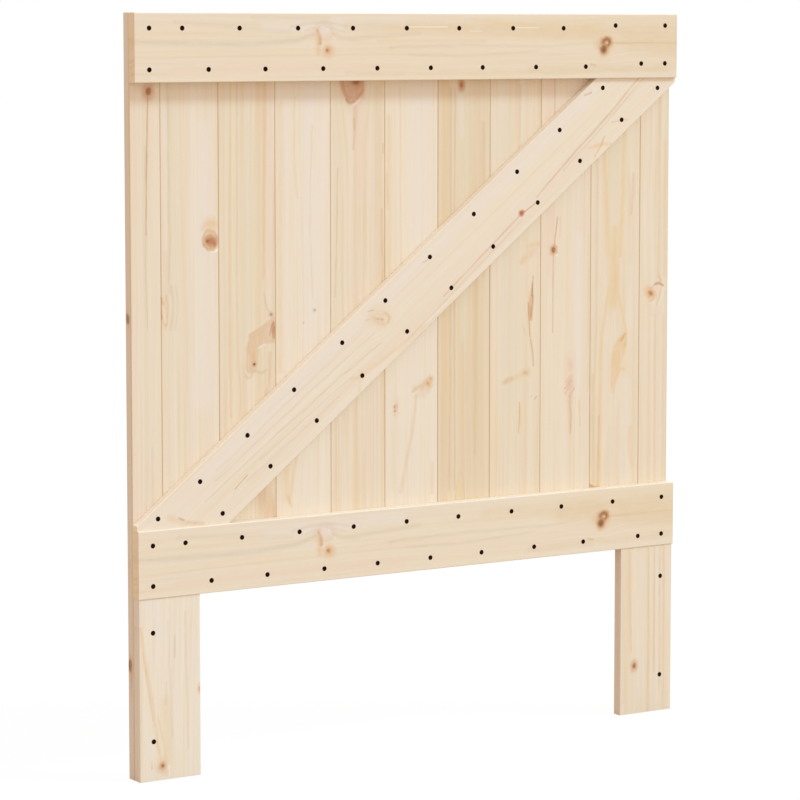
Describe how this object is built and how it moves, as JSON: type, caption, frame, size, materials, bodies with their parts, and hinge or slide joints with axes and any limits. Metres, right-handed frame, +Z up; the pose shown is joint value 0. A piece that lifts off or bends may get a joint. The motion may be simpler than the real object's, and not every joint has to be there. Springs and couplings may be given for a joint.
{
  "type": "bed headboard",
  "caption": "Freestanding pine headboard of upright tongue-and-groove planks with two rails, a diagonal brace and two short board legs, screwed from the front.",
  "frame": {"origin": "on the floor, midway between the outer edges and midway through the thickness", "axes": "+Z up along the planks; +X to the right as seen from the braced front; the braced front faces -Y and the plain back faces +Y"},
  "size_m": [0.9, 0.034, 1.05],
  "materials": {
    "pine_planks": "raw planed pine, matt, with pale flat-sawn grain and small knots",
    "pine_boards": "raw planed pine, matt, with eased edges and a few knots",
    "black_screws": "black phosphated steel, satin"
  },
  "bodies": {
    "root": {"plank_01": "pine_planks", "plank_02": "pine_planks", "plank_03": "pine_planks", "plank_04": "pine_planks", "plank_05": "pine_planks", "plank_06": "pine_planks", "plank_07": "pine_planks", "plank_08": "pine_planks", "plank_09": "pine_planks", "plank_10": "pine_planks", "plank_11": "pine_planks", "top_rail": "pine_boards", "bottom_rail": "pine_boards", "diagonal_brace": "pine_boards", "left_leg_board": "pine_boards", "right_leg_board": "pine_boards", "top_rail_screws": "black_screws", "bottom_rail_screws": "black_screws", "brace_screws": "black_screws", "left_leg_screws": "black_screws", "right_leg_screws": "black_screws"}
  },
  "joints": []
}
